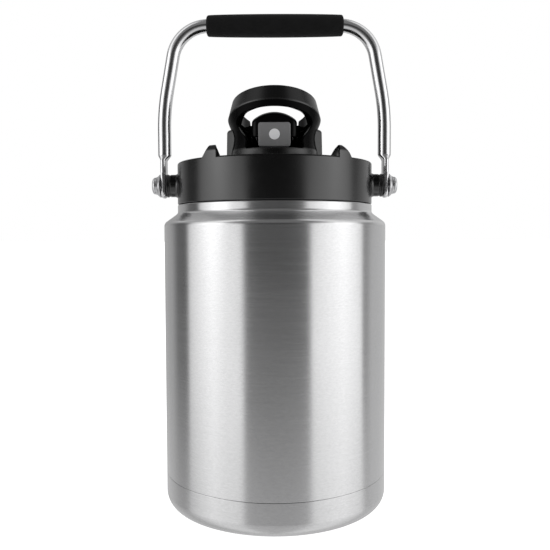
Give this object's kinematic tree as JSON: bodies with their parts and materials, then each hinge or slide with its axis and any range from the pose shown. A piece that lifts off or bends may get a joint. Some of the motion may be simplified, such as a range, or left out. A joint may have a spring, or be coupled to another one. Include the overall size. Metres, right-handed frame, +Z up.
{
  "type": "insulated water jug",
  "caption": "Large double-wall steel water jug with a screw lid, a swinging bail handle with a foam grip, and a push-button flip spout with a finger loop.",
  "frame": {"origin": "centre of the base, on the plane that the jug stands on", "axes": "+Z up along the body's axis; the push button faces -Y and the handle turns about X"},
  "size_m": [0.1778, 0.16, 0.3544],
  "materials": {
    "steel_outer": "fine circumferential brushing, satin",
    "steel_inner": "electropolished inside wall",
    "getter": "sintered grey",
    "solder": "dull solder bead",
    "silicone": "soft matt silicone",
    "lid_black": "fine moulded texture, satin-matt",
    "head_black": "fine moulded texture, satin-matt",
    "loop_black": "smooth satin-matt",
    "foam_insulation": "rigid foam",
    "brass_insert": "knurled brass",
    "bush_black": "smooth nylon",
    "chrome": "polished",
    "grip_foam": "closed-cell foam, matt",
    "pin_steel": "drawn wire",
    "button_grey": "satin-matt",
    "dot_grey": "satin"
  },
  "bodies": {
    "jug": {"outer_shell": "steel_outer", "base_cup": "steel_outer", "inner_liner": "steel_inner", "vacuum_getter": "getter", "evacuation_seal": "solder", "base_disc": "steel_outer"},
    "gasket": {"lid_gasket": "silicone"},
    "lid": {"lid_shell": "lid_black", "lid_liner": "head_black", "lid_insulation": "foam_insulation", "vent_valve": "silicone", "pivot_inserts": "brass_insert", "pivot_spacers": "bush_black", "pivot_washers": "chrome", "pivot_screws": "chrome", "spout_housing": "head_black", "spout_tube": "head_black", "spout_oring": "silicone", "hinge_pin": "pin_steel", "cover_spring": "pin_steel"},
    "handle": {"handle_tube": "chrome", "handle_grip": "grip_foam"},
    "loop": {"finger_loop": "loop_black"},
    "cover": {"flip_cover": "head_black", "cover_seal": "silicone"},
    "button": {"latch_button": "button_grey", "button_dot": "dot_grey", "button_spring": "pin_steel"}
  },
  "joints": [
    {"name": "lid_lift", "type": "slide", "parent": "jug", "child": "gasket", "axis": [0, 0, 1], "range_m": [0, 0.06]},
    {"name": "lid_turn", "type": "hinge", "parent": "gasket", "child": "lid", "pos_m": [0, 0, 0.2313], "axis": [0, 0, 1], "range_deg": [0, 450]},
    {"name": "handle_swing", "type": "hinge", "parent": "lid", "child": "handle", "pos_m": [0, 0, 0.2313], "axis": [1, 0, 0], "range_deg": [-126, 126]},
    {"name": "loop_lift", "type": "hinge", "parent": "lid", "child": "loop", "pos_m": [0, 0.025, 0.2765], "axis": [-1, 0, 0], "range_deg": [0, 100]},
    {"name": "cover_flip", "type": "hinge", "parent": "lid", "child": "cover", "pos_m": [0, 0.025, 0.2765], "axis": [-1, 0, 0], "range_deg": [0, 105]},
    {"name": "button_press", "type": "slide", "parent": "lid", "child": "button", "axis": [0, 1, 0], "range_m": [0, 0.0025], "stiffness_N_per_m": 400}
  ]
}
